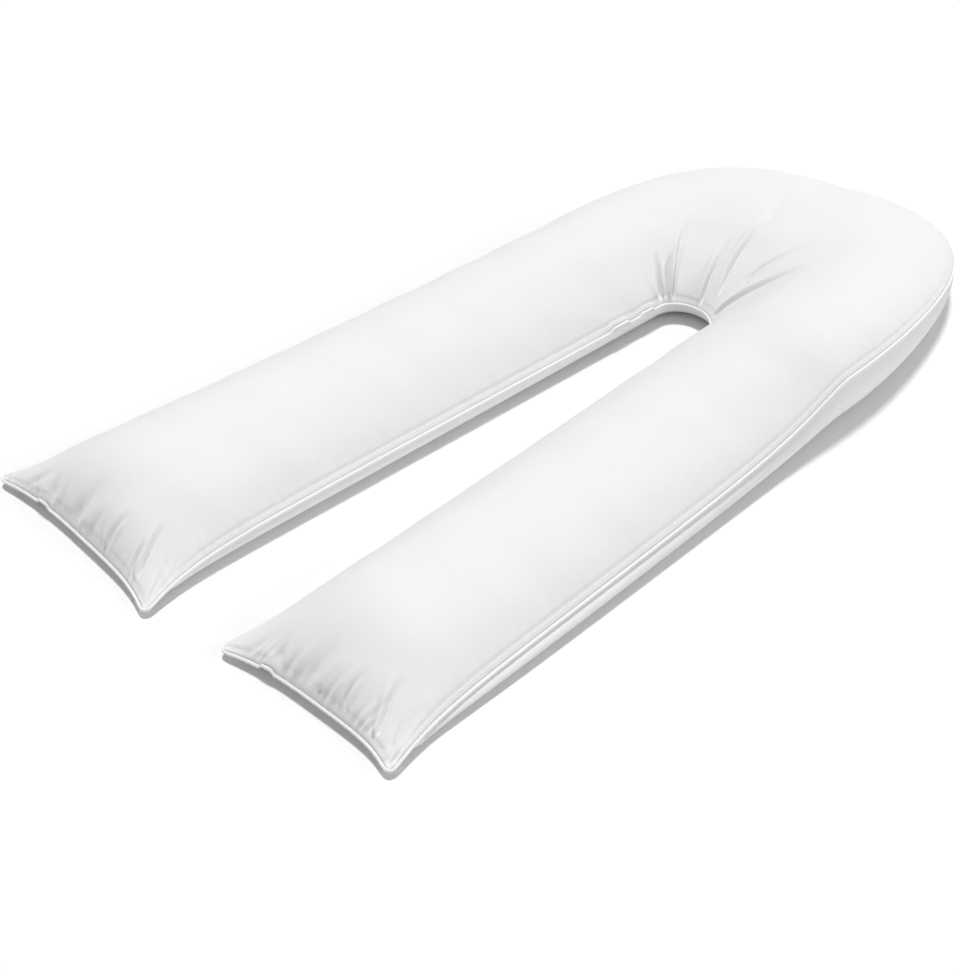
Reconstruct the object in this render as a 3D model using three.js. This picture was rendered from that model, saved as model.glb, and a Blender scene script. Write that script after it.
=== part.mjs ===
// A U-shaped body pillow, lying flat on its lower face.
// Two cloth panels are sewn edge to edge and filled, with a narrow piping in the seam.
// Units are millimetres. X runs across the pillow, Y from the open ends to the bend, Z up.
import * as THREE from 'three';

// Plan of the seam line. The bend's edges are half ovals that leave the straight arms here.
const BEND_INNER_Y = 918;
const BEND_INNER_DEPTH = 43;
const BEND_OUTER_Y = 911;
const BEND_OUTER_DEPTH = 454;
// The +X arm's filling pushes the bend's outer edge out around one turn, in degrees from +X
const SHOULDER = { out: 61, turn: 62, width: 29 };

// The two arms as they lie, spread a little towards their open ends. Distances across are from the
// middle line: inner and outer edge at the open end and at the bend. endY is the end seam's place,
// corner the squareness of the bend's outer edge, and each ear is the tip's distance across and Y.
const ARMS = [
  {
    side: 1, endY: 10, corner: 2.2, innerEnd: 89, outerEnd: 342, innerBend: 48, outerBend: 317,
    innerEar: [58, -39], outerEar: [361, -19],
  },
  {
    side: -1, endY: -46, corner: 2.6, innerEnd: 85, outerEnd: 389, innerBend: 52, outerBend: 302,
    innerEar: [63, -71], outerEar: [431, -60],
  },
];
// Both open ends are alike and not mirrored: plus is towards +X on either arm, and minus towards -X
const EAR_FADE = { plus: 43, minus: 67 }; // an ear's flare dies away along the arm
// An ear's tip is drawn back, partly across and partly along the arm
const EAR_ROUND = { across: 3.4, along: 4.5, reach: 16, sharpness: 2.5 };
const END_DRAW_IN = { depth: 18, fade: 31, plus: 4.5, minus: 2.5 }; // the end seam between its ears

// Height of the seam above the floor. It lies low at the open ends. Its outer side climbs towards
// the bend, most of all at the +X shoulder, around one turn.
const SEAM_END = 16;
const SEAM_EAR = 10;
const SEAM_EAR_SHARPNESS = 3;
const SEAM_FADE = 80;
const SEAM_OUTER = { arm: 30, bend: 59 };
const SEAM_INNER = { arm: 33, bend: 31 };
const SEAM_LIFT = { height: 34, turn: 5, width: 39, growth: 8 };
const CROWN_ARM = 80; // height of the crown above the seam
const CROWN_BEND = 76;

// Section across: (1 - |u|^sharpness)^fullness, with u from -1 at one seam to 1 at the other.
// The rise from an open end has the same form.
const ACROSS = { sharpness: 2.0, fullness: 0.75 };
const ALONG = { sharpness: 2.2, fullness: 0.61, reach: 133 };
const EAR_PINCH = { share: 0.3, reach: 60 };

// Underside: flat where it rests, then round up to the seam with a bulge on the way
const REST_SHARE = 0.735; // flat share of the half width
const REST_STEPS_SHARE = 0.5; // share of the steps that lie on the flat
const REST_ROUND = 2.3;
const REST_END = 55; // length of the round at an open end
const BULGE_OUTER = { arm: 16, bend: 9 };
const BULGE_INNER = { arm: 8.5, bend: 2 };
const SETTLE = 40; // the underside's steps follow the upper face's this near to an end
const SEAM_EDGE = 4; // height of the sewn edge that the piping lies against

// Piping, a round cloth cord just outside the seam
const PIPING_RADIUS = 2.3;
const PIPING_SIDES = 6;
const PIPING_GAP = 0.3;

// Steps of the surface
const ARM_STEPS = 24;
const ARM_STEP_GROWTH = 1.5;
const BEND_STEPS = 54;
const CROSS_STEPS = 24;
const CREASE_STEPS = 60;

const CREASE_SWELL = 0.6; // below 1, a crease is deepest before its middle
const CREASE_RISE = 20; // height above the seam at which creases have their full depth

// Creases fanning out from the inside of the bend. Each is a curve through three places, X and Y
// from the centre of the bend's inner edge.
const BEND_CREASES = [
  { from: [32, 32], via: [80, 92], to: [142, 190], depth: 6, width: 6 },
  { from: [41, 88], via: [55, 150], to: [98, 232], depth: 5, width: 6 },
  { from: [15, 66], via: [-6, 132], to: [-14, 250], depth: 5, width: 5 },
  { from: [-2, 40], via: [-18, 80], to: [-35, 144], depth: 6, width: 4.5 },
  { from: [-38, 20], via: [-71, 61], to: [-106, 120], depth: 6, width: 4 },
  { from: [-48, 12], via: [-66, 33], to: [-88, 62], depth: 5, width: 4 },
  { from: [-46, 5], via: [-72, 20], to: [-102, 41], depth: 5, width: 4 },
];

// Creases that climb from each end seam, the same on both arms. Each place is a share of the way
// from the ear towards -X to the ear towards +X, and a distance from the end.
const END_CREASES = [
  { from: [0.31, 0], via: [0.28, 8], to: [0.22, 26], depth: 5, width: 8 },
  { from: [0.47, 0], via: [0.47, 14], to: [0.5, 44], depth: 5, width: 11 },
  { from: [0.68, 0], via: [0.67, 14], to: [0.7, 36], depth: 4, width: 7 },
  { from: [0.83, 2], via: [0.82, 14], to: [0.8, 36], depth: 4, width: 6 },
  { from: [0.87, 4], via: [0.85, 24], to: [0.82, 58], depth: 6, width: 6 },
  { from: [0.98, 4], via: [0.95, 18], to: [0.91, 48], depth: 5, width: 7 },
];

const { lerp, clamp, radToDeg } = THREE.MathUtils;
const bell = (distance, width) => Math.exp(-((distance / width) ** 2));

// 1 over the middle of a form and 0 at its edge, where x is 1
function roundedRise(x, form) {
  return (1 - clamp(x, 0, 1) ** form.sharpness) ** form.fullness;
}

// One section of an arm; along is 0 at its open end and 1 at the bend
function armStation(arm, along) {
  const place = (across, y) => new THREE.Vector2(arm.side * across, y);
  const inner = place(lerp(arm.innerEnd, arm.innerBend, along), lerp(arm.endY, BEND_INNER_Y, along));
  const outer = place(lerp(arm.outerEnd, arm.outerBend, along), lerp(arm.endY, BEND_OUTER_Y, along));
  const fromEnd = along * (BEND_OUTER_Y - arm.endY);
  const [innerFade, outerFade] = arm.side > 0
    ? [EAR_FADE.minus, EAR_FADE.plus] : [EAR_FADE.plus, EAR_FADE.minus];
  const innerFlare = place(...arm.innerEar).sub(place(arm.innerEnd, arm.endY));
  const outerFlare = place(...arm.outerEar).sub(place(arm.outerEnd, arm.endY));
  inner.addScaledVector(innerFlare, Math.exp(-fromEnd / innerFade));
  outer.addScaledVector(outerFlare, Math.exp(-fromEnd / outerFade));
  const turn = arm.side > 0 ? 0 : 180;
  return { inner, outer, fromEnd, toBend: along, turn, bend: 0, side: arm.side };
}

// One section of the bend; turn is the angle round it, from the +X arm
function bendStation(turn) {
  const [c, s] = [Math.cos(turn), Math.sin(turn)];
  const arm = c >= 0 ? ARMS[0] : ARMS[1];
  const oval = (Math.abs(c) ** arm.corner + s ** arm.corner) ** (-1 / arm.corner);
  const inner = new THREE.Vector2(arm.innerBend * c, BEND_INNER_Y + BEND_INNER_DEPTH * s);
  const outer = new THREE.Vector2(arm.outerBend * c * oval, BEND_OUTER_Y + BEND_OUTER_DEPTH * s * oval);
  const shoulder = SHOULDER.out * s * bell(radToDeg(turn) - SHOULDER.turn, SHOULDER.width);
  outer.add(new THREE.Vector2(c, s).multiplyScalar(shoulder));
  return { inner, outer, fromEnd: BEND_OUTER_Y, toBend: 1, turn: radToDeg(turn), bend: s, side: arm.side };
}

function pillowStations() {
  const steps = Array.from({ length: ARM_STEPS }, (_, i) => (i / ARM_STEPS) ** ARM_STEP_GROWTH);
  const turns = Array.from({ length: BEND_STEPS + 1 }, (_, i) => (Math.PI * i) / BEND_STEPS);
  return [
    ...steps.map((along) => armStation(ARMS[0], along)),
    ...turns.map(bendStation),
    ...steps.map((along) => armStation(ARMS[1], along)).reverse(),
  ];
}

// The upper face's steps across are closer together near the seams
const closerAtSeams = (even) => (even + (1 - Math.cos(Math.PI * even)) / 2) / 2;

// Plan position at a station, t from 0 at the inner seam to 1 at the outer one
function planPoint(station, t) {
  const u = 2 * t - 1;
  const point = station.inner.clone().lerp(station.outer, t);
  const width = station.inner.distanceTo(station.outer);
  const sharpness = u * station.side > 0 ? END_DRAW_IN.plus : END_DRAW_IN.minus;
  const draw = END_DRAW_IN.depth * (1 - Math.abs(u) ** sharpness);
  point.y += draw * Math.exp(-station.fromEnd / END_DRAW_IN.fade);
  const fromTip = Math.hypot(station.fromEnd, ((1 - Math.abs(u)) / 2) * width);
  const back = Math.max(0, 1 - fromTip / EAR_ROUND.reach) ** EAR_ROUND.sharpness;
  point.x -= EAR_ROUND.across * back * Math.sign(u) * station.side;
  point.y += EAR_ROUND.along * back;
  return point;
}

function seamHeight(station, u) {
  const end = lerp(SEAM_END, SEAM_EAR, Math.abs(u) ** SEAM_EAR_SHARPNESS);
  const lift = SEAM_LIFT.height * bell(station.turn - SEAM_LIFT.turn, SEAM_LIFT.width);
  const outer = lerp(SEAM_OUTER.arm, SEAM_OUTER.bend, station.toBend ** 2);
  const inner = lerp(SEAM_INNER.arm, SEAM_INNER.bend, station.bend);
  const side = lerp(inner, outer + lift * station.toBend ** SEAM_LIFT.growth, (u + 1) / 2);
  return lerp(side, end, Math.exp(-station.fromEnd / SEAM_FADE));
}

// Points of a crease's curve, from one end through its middle place to the other; scale turns its
// first coordinate into millimetres
function creaseCurve({ from, via, to }, scale = 1) {
  const [start, middle, end] = [from, via, to].map(([x, y]) => new THREE.Vector2(x * scale, y));
  const control = middle.multiplyScalar(2).sub(start.clone().lerp(end, 0.5));
  return new THREE.QuadraticBezierCurve(start, control, end).getPoints(CREASE_STEPS);
}

// Depth of a crease at a place: a bell across its curve that widens and dies away along it
function creaseDepth(place, crease, curve) {
  const distances = curve.map((point) => point.distanceTo(place));
  const nearest = Math.min(...distances);
  const share = distances.indexOf(nearest) / CREASE_STEPS;
  const swell = Math.sin(Math.PI * share ** CREASE_SWELL);
  return crease.depth * swell * bell(nearest, crease.width * (1 + share));
}

const bendCurves = BEND_CREASES.map((crease) => creaseCurve(crease));

// Depth of all creases at a station's point
function creasesDepth(station, t, point) {
  const fromCentre = new THREE.Vector2(point.x, point.y - BEND_INNER_Y);
  const depths = BEND_CREASES.map((crease, k) => creaseDepth(fromCentre, crease, bendCurves[k]));
  if (station.bend === 0) {
    const width = station.inner.distanceTo(station.outer);
    const across = station.side > 0 ? t : 1 - t;
    const fromSeam = new THREE.Vector2(across * width, station.fromEnd);
    depths.push(...END_CREASES.map((crease) => creaseDepth(fromSeam, crease, creaseCurve(crease, width))));
  }
  return depths.reduce((sum, depth) => sum + depth, 0);
}

// Height of the upper face above the seam
function crownHeight(station, t, point) {
  const u = 2 * t - 1;
  const pinch = bell(point.distanceTo(station.inner), EAR_PINCH.reach)
    + bell(point.distanceTo(station.outer), EAR_PINCH.reach);
  const nearEnd = bell(station.fromEnd, EAR_PINCH.reach);
  const full = lerp(CROWN_ARM, CROWN_BEND, station.bend) * (1 - EAR_PINCH.share * pinch * nearEnd);
  const rise = roundedRise(Math.abs(u), ACROSS) * roundedRise(1 - station.fromEnd / ALONG.reach, ALONG);
  const height = full * rise;
  return Math.max(height - creasesDepth(station, t, point) * clamp(height / CREASE_RISE, 0, 1), 0);
}

function upperPoint(station, t) {
  const point = planPoint(station, t);
  const seam = seamHeight(station, 2 * t - 1);
  return new THREE.Vector3(point.x, point.y, seam + SEAM_EDGE / 2 + crownHeight(station, t, point));
}

// The underside's share of the seam's height: 0 where it rests and 1 at the seam
function underRise(angle, station) {
  const side = 1 - Math.cos(angle) ** (2 / REST_ROUND);
  const near = clamp(1 - station.fromEnd / REST_END, 0, 1);
  const end = 1 - (1 - near ** REST_ROUND) ** (1 / REST_ROUND);
  return 1 - (1 - side) * (1 - end);
}

// even is the step's place from 0 to 1 across, t the upper face's place at the same step
function lowerPoint(station, even, t) {
  const out = Math.abs(2 * even - 1);
  const angle = (clamp((out - REST_STEPS_SHARE) / (1 - REST_STEPS_SHARE), 0, 1) * Math.PI) / 2;
  const flat = (REST_SHARE * Math.min(out, REST_STEPS_SHARE)) / REST_STEPS_SHARE;
  const across = flat + (1 - REST_SHARE) * Math.sin(angle) ** (2 / REST_ROUND);
  const settled = clamp(station.fromEnd / SETTLE, 0, 1);
  const u = lerp(2 * t - 1, Math.sign(even - 0.5) * across, settled);
  const rise = underRise(angle, station);
  const bulge = u < 0 ? BULGE_INNER : BULGE_OUTER;
  const fadeIn = 1 - Math.exp(-station.fromEnd / SEAM_FADE);
  const sideways = lerp(bulge.arm, bulge.bend, station.toBend ** 2) * fadeIn;
  const outward = station.outer.clone().sub(station.inner).normalize().multiplyScalar(Math.sign(u));
  const point = planPoint(station, (u + 1) / 2);
  point.addScaledVector(outward, 4 * sideways * rise * (1 - rise));
  return new THREE.Vector3(point.x, point.y, rise * (seamHeight(station, u) - SEAM_EDGE / 2));
}

function meshGeometry(points, triangles) {
  const geometry = new THREE.BufferGeometry();
  geometry.setAttribute('position', new THREE.Float32BufferAttribute(points.flatMap((p) => p.toArray()), 3));
  geometry.setIndex(triangles);
  geometry.computeVertexNormals();
  return geometry;
}

// Grid indices once round its edge, anticlockwise as seen from above
function edgeLoop(rows, columns) {
  const index = (i, j) => i * columns + j;
  const loop = [];
  for (let j = 0; j < columns - 1; j += 1) loop.push(index(0, j));
  for (let i = 0; i < rows - 1; i += 1) loop.push(index(i, columns - 1));
  for (let j = columns - 1; j > 0; j -= 1) loop.push(index(rows - 1, j));
  for (let i = rows - 1; i > 0; i -= 1) loop.push(index(i, 0));
  return loop;
}

// Upper and lower faces on one grid, joined round the edge by the narrow sewn edge
function cushionGeometry(stations, steps) {
  const columns = steps.length;
  const upper = stations.flatMap((station) => steps.map((even) => upperPoint(station, closerAtSeams(even))));
  const lower = stations.flatMap((station) => (
    steps.map((even) => lowerPoint(station, even, closerAtSeams(even)))
  ));
  const under = upper.length;
  const triangles = [];
  for (let i = 0; i < stations.length - 1; i += 1) {
    for (let j = 0; j < columns - 1; j += 1) {
      const [a, b] = [i * columns + j, i * columns + j + 1];
      const [c, d] = [b + columns, a + columns];
      triangles.push(a, b, c, a, c, d);
      triangles.push(under + a, under + c, under + b, under + a, under + d, under + c);
    }
  }
  const loop = edgeLoop(stations.length, columns);
  loop.forEach((a, k) => {
    const b = loop[(k + 1) % loop.length];
    triangles.push(under + a, under + b, b, under + a, b, a);
  });
  return meshGeometry([...upper, ...lower], triangles);
}

// A closed cord round the seam line. Each section stands on the mitre of the seam's two sides there,
// with a flat side towards the cushion.
function pipingGeometry(stations, steps) {
  const seam = edgeLoop(stations.length, steps.length).map((k) => {
    const station = stations[Math.floor(k / steps.length)];
    const t = closerAtSeams(steps[k % steps.length]);
    const point = planPoint(station, t);
    return new THREE.Vector3(point.x, point.y, seamHeight(station, 2 * t - 1));
  });
  const inRadius = PIPING_RADIUS * Math.cos(Math.PI / PIPING_SIDES);
  const outwardOf = (from, to) => new THREE.Vector2(to.y - from.y, from.x - to.x).normalize();
  const points = seam.flatMap((point, k) => {
    const before = outwardOf(seam.at(k - 1), point);
    const after = outwardOf(point, seam[(k + 1) % seam.length]);
    const mitre = before.clone().add(after).normalize();
    const stretch = 1 / mitre.dot(after);
    return Array.from({ length: PIPING_SIDES }, (_, side) => {
      const angle = (2 * Math.PI * (side + 0.5)) / PIPING_SIDES;
      const out = (PIPING_GAP + inRadius + PIPING_RADIUS * Math.cos(angle)) * stretch;
      return new THREE.Vector3(
        point.x + mitre.x * out,
        point.y + mitre.y * out,
        point.z + PIPING_RADIUS * Math.sin(angle),
      );
    });
  });
  const triangles = [];
  for (let k = 0; k < seam.length; k += 1) {
    const [here, next] = [k * PIPING_SIDES, ((k + 1) % seam.length) * PIPING_SIDES];
    for (let side = 0; side < PIPING_SIDES; side += 1) {
      const turn = (side + 1) % PIPING_SIDES;
      triangles.push(here + side, next + side, next + turn, here + side, next + turn, here + turn);
    }
  }
  return meshGeometry(points, triangles);
}

function clothMesh(name, geometry, color) {
  const material = new THREE.MeshStandardMaterial({ color, roughness: 0.85, metalness: 0 });
  const mesh = new THREE.Mesh(geometry, material);
  mesh.name = name;
  return mesh;
}

const stations = pillowStations();
const steps = Array.from({ length: CROSS_STEPS + 1 }, (_, j) => j / CROSS_STEPS);
const cushion = clothMesh('cushion', cushionGeometry(stations, steps), 0xf4f4f2);
const piping = clothMesh('seam_piping', pipingGeometry(stations, steps), 0xfafaf8);

// The origin is under the middle of the pillow's box
const pillow = new THREE.Group();
pillow.add(cushion, piping);
const middle = new THREE.Box3().setFromObject(pillow, true).getCenter(new THREE.Vector3());
for (const mesh of pillow.children) mesh.position.set(-middle.x, -middle.y, 0);

export default pillow;
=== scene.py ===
"""A U-shaped body pillow in white cloth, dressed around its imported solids.

The pillow lies on its under face. Lengths are metres, +Z is up, +X runs across the two arms and +Y
from the open ends to the bend. The seam's outline and the crown are worked out from the same named
sizes as the solids, in the plan's own coordinates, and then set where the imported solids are.
"""

import logging
import math
from dataclasses import dataclass, field
from enum import Enum

import bpy
import numpy as np
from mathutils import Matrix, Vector


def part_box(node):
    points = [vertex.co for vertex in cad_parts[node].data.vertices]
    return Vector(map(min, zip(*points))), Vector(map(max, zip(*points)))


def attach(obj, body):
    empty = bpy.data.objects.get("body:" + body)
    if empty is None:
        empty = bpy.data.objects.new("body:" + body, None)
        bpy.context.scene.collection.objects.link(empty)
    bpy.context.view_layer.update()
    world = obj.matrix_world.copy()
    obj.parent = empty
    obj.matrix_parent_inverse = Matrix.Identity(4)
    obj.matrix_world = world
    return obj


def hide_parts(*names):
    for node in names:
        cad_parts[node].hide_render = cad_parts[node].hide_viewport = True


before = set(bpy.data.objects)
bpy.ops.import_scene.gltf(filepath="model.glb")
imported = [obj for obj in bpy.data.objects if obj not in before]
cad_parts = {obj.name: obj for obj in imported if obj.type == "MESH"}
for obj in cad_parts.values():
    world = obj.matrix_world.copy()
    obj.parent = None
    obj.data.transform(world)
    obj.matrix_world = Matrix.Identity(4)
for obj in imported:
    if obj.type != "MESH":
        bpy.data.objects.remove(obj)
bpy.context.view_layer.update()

LOG = logging.getLogger("pillow")
BODY = "root"
TINY = 1e-12  # Least length that is divided by
WAVE_LENGTH = 0.31  # Length of a wave texture's band at scale 1
SEAM_SAMPLES = (120, 180, 60)  # Steps of the line that sets the plan in place

Array = np.ndarray
Pair = tuple[float, float]


class Face(Enum):
    """The two faces of the pillow, one for each cloth panel."""

    UPPER = "upper"
    UNDER = "under"


def bell(distance: Array, width: float | Array) -> Array:
    """A smooth bump, exp(-(distance / width)^2)."""
    return np.exp(-((distance / width) ** 2))


def blend(start: float | Array, end: float | Array, share: Array) -> Array:
    """The straight mix from start, where share is 0, to end, where it is 1."""
    return start + (end - start) * share


def smooth_step(x: Array) -> Array:
    """0 below 0, 1 above 1, and 3x^2 - 2x^3 between."""
    x = np.clip(x, 0.0, 1.0)
    return x * x * (3.0 - 2.0 * x)


@dataclass(frozen=True)
class Arm:
    """One arm as it lies. Distances across are from the plan's middle line.

    Attributes:
        side: 1 for the +X arm and -1 for the other.
        end_y: Place of the end seam along Y.
        corner: Squareness of the bend's outer edge on this side.
        inner: Inner edge at the open end and at the bend, and outer the outer one.
        ears: Tips of the inner and the outer ear, distance across and Y.
    """

    side: float
    end_y: float
    corner: float
    inner: Pair
    outer: Pair
    ears: tuple[Pair, Pair]


@dataclass(frozen=True)
class Stations:
    """Sections across the pillow, from the +X arm's open end round the bend to the other one.

    Attributes:
        inner: Where each section meets the inner seam, in plan, and outer the outer seam.
        from_end: Distance from the open end. Round the bend it stays at the arm's length.
        to_bend: 0 at the open end, and 1 from the end of the arm on.
        turn: Angle from +X in degrees, 0 along the +X arm and 180 along the other.
        bend: 0 along the arms, and 1 in the middle of the bend.
        side: 1 on the +X side and -1 on the other.
    """

    inner: Array
    outer: Array
    from_end: Array
    to_bend: Array
    turn: Array
    bend: Array
    side: Array

    @property
    def width(self) -> Array:
        """Width of each section from seam to seam, as a column."""
        return np.linalg.norm(self.outer - self.inner, axis=1)[:, None]

    @property
    def travel(self) -> Array:
        """Distance along the middle of the sections, as a column."""
        middle = (self.inner + self.outer) / 2
        step = np.linalg.norm(np.diff(middle, axis=0), axis=1)
        return np.concatenate([[0.0], np.cumsum(step)])[:, None]


@dataclass(frozen=True)
class PillowForm:
    """The filled pillow without its creases: plan of the seam, seam's height, crown and underside.

    A pair holds the values along the arms and in the middle of the bend, but ear_fades and
    end_draw_sharpness those towards -X and +X, and ear_round those across and along the arm.
    """

    arms: tuple[Arm, Arm] = (
        Arm(1.0, 0.010, 2.2, (0.089, 0.048), (0.342, 0.317), ((0.058, -0.039), (0.361, -0.019))),
        Arm(-1.0, -0.046, 2.6, (0.085, 0.052), (0.389, 0.302), ((0.063, -0.071), (0.431, -0.060))),
    )
    bend_inner_y: float = 0.918
    bend_inner_depth: float = 0.043
    bend_outer_y: float = 0.911
    bend_outer_depth: float = 0.454
    shoulder_out: float = 0.061
    shoulder_turn: float = 62.0
    shoulder_width: float = 29.0
    ear_fades: Pair = (0.067, 0.043)
    ear_round: Pair = (0.0034, 0.0045)
    ear_round_reach: float = 0.016
    ear_round_power: float = 2.5
    end_draw_in: float = 0.018
    end_draw_fade: float = 0.031
    end_draw_sharpness: Pair = (2.5, 4.5)
    seam_end: float = 0.016
    seam_ear: float = 0.010
    seam_ear_power: float = 3.0
    seam_fade: float = 0.080
    seam_outer: Pair = (0.030, 0.059)
    seam_inner: Pair = (0.033, 0.031)
    lift: float = 0.034
    lift_turn: float = 5.0
    lift_width: float = 39.0
    lift_growth: float = 16.0
    crown: Pair = (0.080, 0.076)
    across_sharpness: float = 2.0
    across_fullness: float = 0.75
    along_sharpness: float = 2.2
    along_fullness: float = 0.61
    along_reach: float = 0.133
    ear_pinch: float = 0.3
    ear_pinch_reach: float = 0.060
    rest_share: float = 0.735
    rest_steps_share: float = 0.4
    rest_round: float = 2.3
    rest_end: float = 0.055
    bulge_outer: Pair = (0.016, 0.009)
    bulge_inner: Pair = (0.0085, 0.002)
    settle: float = 0.040
    seam_edge: float = 0.004
    line_growth: float = 1.25

    def arm_stations(self, arm: Arm, along: Array) -> Stations:
        """Sections of one arm.

        Each edge runs straight from the open end to the bend, plus the ear's flare, which dies away
        as exp(-distance / fade). An ear towards +X has another fade than one towards -X.

        Args:
            arm: The arm.
            along: Each section's share of the arm, 0 at the open end and 1 at the bend.

        Returns:
            The sections, in the order of along.
        """
        from_end = along * (self.bend_outer_y - arm.end_y)
        bends = (self.bend_inner_y, self.bend_outer_y)
        fades = self.ear_fades[:: int(arm.side)]
        edges = []
        for ends, bend_y, ear, fade in zip((arm.inner, arm.outer), bends, arm.ears, fades):
            flare = np.exp(-from_end / fade)
            across = blend(*ends, along) + flare * (ear[0] - ends[0])
            y = blend(arm.end_y, bend_y, along) + flare * (ear[1] - arm.end_y)
            edges.append(np.stack([arm.side * across, y], axis=1))
        flat = np.zeros_like(along)
        return Stations(*edges, from_end, along, flat + 90 * (1 - arm.side), flat, flat + arm.side)

    def bend_stations(self, turn: Array) -> Stations:
        """Sections round the bend.

        The inner edge is half an ellipse. The outer edge is half a superellipse of each arm's
        squareness, pushed out by a bell round the shoulder's turn.

        Args:
            turn: Angles from +X, in radians, from 0 to pi.

        Returns:
            The sections, in the order of turn.
        """
        c, s = np.cos(turn), np.sin(turn)
        side = np.where(c >= 0, 1.0, -1.0)
        of_arms = (np.array([[arm.corner], [arm.inner[1]], [arm.outer[1]]]) for arm in self.arms)
        corner, inner_bend, outer_bend = np.where(side > 0, *of_arms)
        oval = (np.abs(c) ** corner + s**corner) ** (-1 / corner)
        inner = np.stack([inner_bend * c, self.bend_inner_y + self.bend_inner_depth * s], 1)
        outer = np.stack([outer_bend * c * oval, self.bend_outer_y + self.bend_outer_depth * s * oval], 1)
        shoulder = self.shoulder_out * s * bell(np.degrees(turn) - self.shoulder_turn, self.shoulder_width)
        outer = outer + shoulder[:, None] * np.stack([c, s], axis=1)
        reach = np.full_like(turn, self.bend_outer_y)
        return Stations(inner, outer, reach, np.ones_like(turn), np.degrees(turn), s, side)

    def stations(self, arm_steps: int, bend_steps: int, growth: float) -> Stations:
        """All sections, the arms' ones closer together near the open ends.

        Args:
            arm_steps: Steps along each arm.
            bend_steps: Steps round the bend.
            growth: Power of a section's number that its distance from the open end follows.

        Returns:
            The sections from the +X arm's open end to the other one.
        """
        along = (np.arange(arm_steps) / arm_steps) ** growth
        near = self.arm_stations(self.arms[0], along)
        bend = self.bend_stations(np.linspace(0.0, math.pi, bend_steps + 1))
        far = self.arm_stations(self.arms[1], along[::-1])
        return Stations(*map(np.concatenate, zip(*(vars(part).values() for part in (near, bend, far)))))

    def plan(self, st: Stations, t: Array) -> Array:
        """Points in plan.

        A point lies on its section's straight line, plus the end seam's draw-in between the ears,
        and plus the rounding that pulls each ear's tip back.

        Args:
            st: The sections.
            t: Place across by section and step, 0 at the inner seam and 1 at the outer one.

        Returns:
            X and Y by section and step.
        """
        u = 2 * t - 1
        point = st.inner[:, None] + (st.outer - st.inner)[:, None] * t[..., None]
        from_end = st.from_end[:, None]
        sharpness = np.where(u * st.side[:, None] < 0, *self.end_draw_sharpness)
        draw = self.end_draw_in * (1 - np.abs(u) ** sharpness) * np.exp(-from_end / self.end_draw_fade)
        from_tip = np.hypot(from_end, (1 - np.abs(u)) / 2 * st.width)
        back = np.clip(1 - from_tip / self.ear_round_reach, 0, 1) ** self.ear_round_power
        point[..., 0] -= self.ear_round[0] * back * np.sign(u) * st.side[:, None]
        point[..., 1] += draw + self.ear_round[1] * back
        return point

    def seam_height(self, st: Stations, u: Array) -> Array:
        """Height of the seam above the floor.

        It lies low at the open ends. Its outer side climbs towards the bend with the square of the
        way there, and most of all at the +X shoulder, by a bell round one turn. Along the arm this
        lift grows as x^n * (1 + n * (1 - x)), which is level where the bend begins.

        Args:
            st: The sections.
            u: Place across by section and step, -1 at the inner seam and 1 at the outer one.

        Returns:
            Heights by section and step.
        """
        from_end, to_bend = st.from_end[:, None], st.to_bend[:, None]
        end = blend(self.seam_end, self.seam_ear, np.abs(u) ** self.seam_ear_power)
        growth = self.lift_growth
        lift = self.lift * to_bend**growth * (1 + growth * (1 - to_bend))
        lift = lift * bell(st.turn[:, None] - self.lift_turn, self.lift_width)
        outer = blend(*self.seam_outer, to_bend**2) + lift
        inner = blend(*self.seam_inner, st.bend[:, None])
        return blend(blend(inner, outer, (u + 1) / 2), end, np.exp(-from_end / self.seam_fade))

    def upper(self, st: Stations, t: Array) -> Array:
        """The upper face: the seam plus the crown.

        The crown is full * (1 - |u|^a)^b across, times a like rise from an open end, with full
        pinched by a bell near each ear.

        Args:
            st: The sections.
            t: Places across.

        Returns:
            Points by section and step.
        """
        u = 2 * t - 1
        point = self.plan(st, t)
        from_end = st.from_end[:, None]
        pinch = bell(np.linalg.norm(point - st.inner[:, None], axis=2), self.ear_pinch_reach)
        pinch = pinch + bell(np.linalg.norm(point - st.outer[:, None], axis=2), self.ear_pinch_reach)
        pinch = self.ear_pinch * pinch * bell(from_end, self.ear_pinch_reach)
        full = blend(*self.crown, st.bend[:, None]) * (1 - pinch)
        near_end = np.clip(1 - from_end / self.along_reach, 0, 1)
        rise = (1 - near_end**self.along_sharpness) ** self.along_fullness
        across = (1 - np.abs(u) ** self.across_sharpness) ** self.across_fullness
        height = self.seam_height(st, u) + self.seam_edge / 2 + full * rise * across
        return np.dstack([point, height])

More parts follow.
